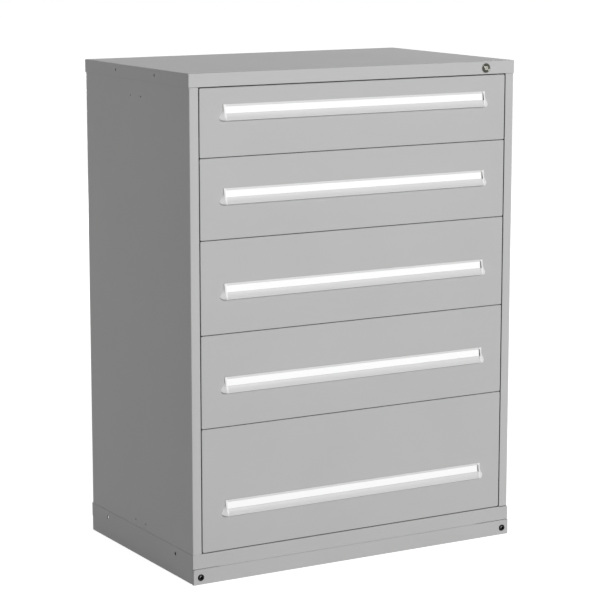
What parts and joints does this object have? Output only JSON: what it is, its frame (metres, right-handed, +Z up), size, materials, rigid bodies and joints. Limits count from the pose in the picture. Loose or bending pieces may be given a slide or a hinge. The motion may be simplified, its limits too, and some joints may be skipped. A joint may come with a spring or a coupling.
{
  "type": "modular drawer cabinet",
  "caption": "Tall sheet-steel storage cabinet with full-width drawers of rising depth on telescopic slides, long label pulls, a gang lock in the cap and a fork-truck base.",
  "frame": {"origin": "bottom centre of the cabinet's bounding box, on the floor", "axes": "+Z up, drawers open towards -Y, +X to the right as seen from the front"},
  "size_m": [1.1408, 0.7222, 1.524],
  "materials": {
    "body_paint": "light grey powder coat, satin",
    "front_paint": "light grey powder coat, satin",
    "base_paint": "light grey powder coat, satin",
    "tray_paint": "light grey powder coat, satin",
    "pull_paint": "light grey paint on the pull, satin",
    "label_white": "white label strip under a clear cover",
    "screw_black": "black oxide button head",
    "lock_nickel": "polished nickel",
    "slide_zinc": "zinc plate"
  },
  "bodies": {
    "cabinet": {"side_panel_left": "body_paint", "side_panel_right": "body_paint", "back_panel": "body_paint", "top_cover": "body_paint", "floor_pan": "body_paint", "top_front_rail": "body_paint", "rear_uprights": "body_paint", "cabinet_rails": "slide_zinc", "base_side_left": "base_paint", "base_side_right": "base_paint", "base_front_rail": "base_paint", "base_rear_rail": "base_paint", "base_front_cover": "base_paint", "cover_screws": "screw_black", "lock_housing": "lock_nickel", "lock_nut": "slide_zinc"},
    "lock_plug": {"lock_plug": "lock_nickel", "lock_cam": "slide_zinc"},
    "lock_bar": {"lock_bar": "slide_zinc", "lock_bar_lugs": "slide_zinc"},
    "drawer_1": {"drawer_1_front": "front_paint", "drawer_1_tray": "tray_paint", "drawer_1_handle": "pull_paint", "drawer_1_label": "label_white", "drawer_1_end_caps": "pull_paint", "drawer_1_rails": "slide_zinc", "drawer_1_catch": "slide_zinc"},
    "carriage_1": {"carriage_1": "slide_zinc"},
    "drawer_2": {"drawer_2_front": "front_paint", "drawer_2_tray": "tray_paint", "drawer_2_handle": "pull_paint", "drawer_2_label": "label_white", "drawer_2_end_caps": "pull_paint", "drawer_2_rails": "slide_zinc", "drawer_2_catch": "slide_zinc"},
    "carriage_2": {"carriage_2": "slide_zinc"},
    "drawer_3": {"drawer_3_front": "front_paint", "drawer_3_tray": "tray_paint", "drawer_3_handle": "pull_paint", "drawer_3_label": "label_white", "drawer_3_end_caps": "pull_paint", "drawer_3_rails": "slide_zinc", "drawer_3_catch": "slide_zinc"},
    "carriage_3": {"carriage_3": "slide_zinc"},
    "drawer_4": {"drawer_4_front": "front_paint", "drawer_4_tray": "tray_paint", "drawer_4_handle": "pull_paint", "drawer_4_label": "label_white", "drawer_4_end_caps": "pull_paint", "drawer_4_rails": "slide_zinc", "drawer_4_catch": "slide_zinc"},
    "carriage_4": {"carriage_4": "slide_zinc"},
    "drawer_5": {"drawer_5_front": "front_paint", "drawer_5_tray": "tray_paint", "drawer_5_handle": "pull_paint", "drawer_5_label": "label_white", "drawer_5_end_caps": "pull_paint", "drawer_5_rails": "slide_zinc", "drawer_5_catch": "slide_zinc"},
    "carriage_5": {"carriage_5": "slide_zinc"}
  },
  "joints": [
    {"name": "drawer_1_slide", "type": "slide", "parent": "cabinet", "child": "drawer_1", "axis": [0, -1, 0], "range_m": [0, 0.6]},
    {"name": "carriage_1_slide", "type": "slide", "parent": "cabinet", "child": "carriage_1", "axis": [0, -1, 0], "range_m": [0, 0.3]},
    {"name": "drawer_2_slide", "type": "slide", "parent": "cabinet", "child": "drawer_2", "axis": [0, -1, 0], "range_m": [0, 0.6]},
    {"name": "carriage_2_slide", "type": "slide", "parent": "cabinet", "child": "carriage_2", "axis": [0, -1, 0], "range_m": [0, 0.3]},
    {"name": "drawer_3_slide", "type": "slide", "parent": "cabinet", "child": "drawer_3", "axis": [0, -1, 0], "range_m": [0, 0.6]},
    {"name": "carriage_3_slide", "type": "slide", "parent": "cabinet", "child": "carriage_3", "axis": [0, -1, 0], "range_m": [0, 0.3]},
    {"name": "drawer_4_slide", "type": "slide", "parent": "cabinet", "child": "drawer_4", "axis": [0, -1, 0], "range_m": [0, 0.6]},
    {"name": "carriage_4_slide", "type": "slide", "parent": "cabinet", "child": "carriage_4", "axis": [0, -1, 0], "range_m": [0, 0.3]},
    {"name": "drawer_5_slide", "type": "slide", "parent": "cabinet", "child": "drawer_5", "axis": [0, -1, 0], "range_m": [0, 0.6]},
    {"name": "carriage_5_slide", "type": "slide", "parent": "cabinet", "child": "carriage_5", "axis": [0, -1, 0], "range_m": [0, 0.3]},
    {"name": "lock_bar_slide", "type": "slide", "parent": "cabinet", "child": "lock_bar", "axis": [0, 0, 1], "range_m": [0, 0.01414]},
    {"name": "lock_plug_turn", "type": "hinge", "parent": "cabinet", "child": "lock_plug", "pos_m": [0.4646, -0.34505, 1.5028], "axis": [0, -1, 0], "range_deg": [0, 90]}
  ],
  "couplings": [
    {"joint": "carriage_1_slide", "follows": "drawer_1_slide", "ratio": 0.5},
    {"joint": "carriage_2_slide", "follows": "drawer_2_slide", "ratio": 0.5},
    {"joint": "carriage_3_slide", "follows": "drawer_3_slide", "ratio": 0.5},
    {"joint": "carriage_4_slide", "follows": "drawer_4_slide", "ratio": 0.5},
    {"joint": "carriage_5_slide", "follows": "drawer_5_slide", "ratio": 0.5},
    {"joint": "lock_plug_turn", "follows": "lock_bar_slide", "rad_per_m": 111.07}
  ]
}
